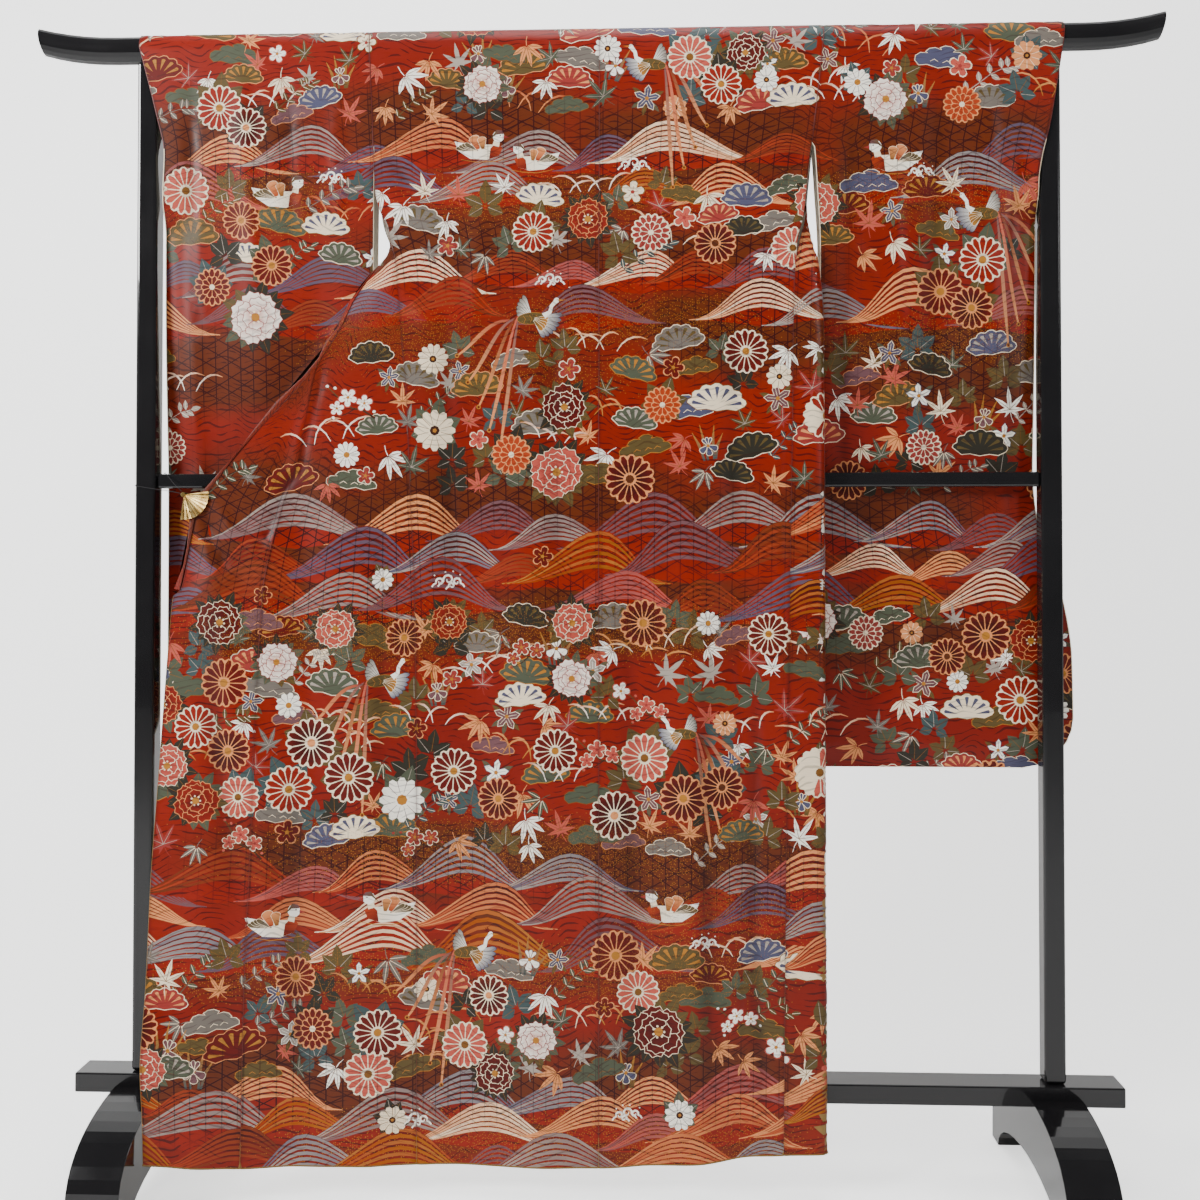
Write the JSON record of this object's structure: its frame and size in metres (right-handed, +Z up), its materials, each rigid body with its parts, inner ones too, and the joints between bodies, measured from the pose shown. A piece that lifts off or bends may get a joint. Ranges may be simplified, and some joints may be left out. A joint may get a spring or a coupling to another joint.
{
  "type": "furisode on kimono stand",
  "caption": "Long-sleeved formal kimono shown from the back on a black lacquered stand, its left front drawn out and held by a fan clip.",
  "frame": {"origin": "on the floor under the middle of the stand", "axes": "+X along the bar to the viewer's right, +Y away from the viewer, +Z up"},
  "size_m": [1.642, 0.38, 1.6875],
  "materials": {
    "black_lacquer": "gloss black lacquer over wood",
    "vermilion_silk": "figured satin silk",
    "collar_silk": "figured satin silk",
    "gilt_metal": "polished gilt",
    "black_elastic": "matt braided elastic"
  },
  "bodies": {
    "root": {"top_bar": "black_lacquer", "post_left": "black_lacquer", "post_right": "black_lacquer", "mid_rail": "black_lacquer", "low_beam": "black_lacquer", "foot_left": "black_lacquer", "foot_right": "black_lacquer", "back_left": "vermilion_silk", "back_right": "vermilion_silk", "front_left": "vermilion_silk", "front_right": "vermilion_silk", "okumi_left": "vermilion_silk", "okumi_right": "vermilion_silk", "sleeve_left": "vermilion_silk", "sleeve_right": "vermilion_silk", "collar": "collar_silk", "clip_fan": "gilt_metal", "clip_jaw": "gilt_metal", "clip_pin": "gilt_metal", "clip_elastic": "black_elastic"}
  },
  "joints": []
}
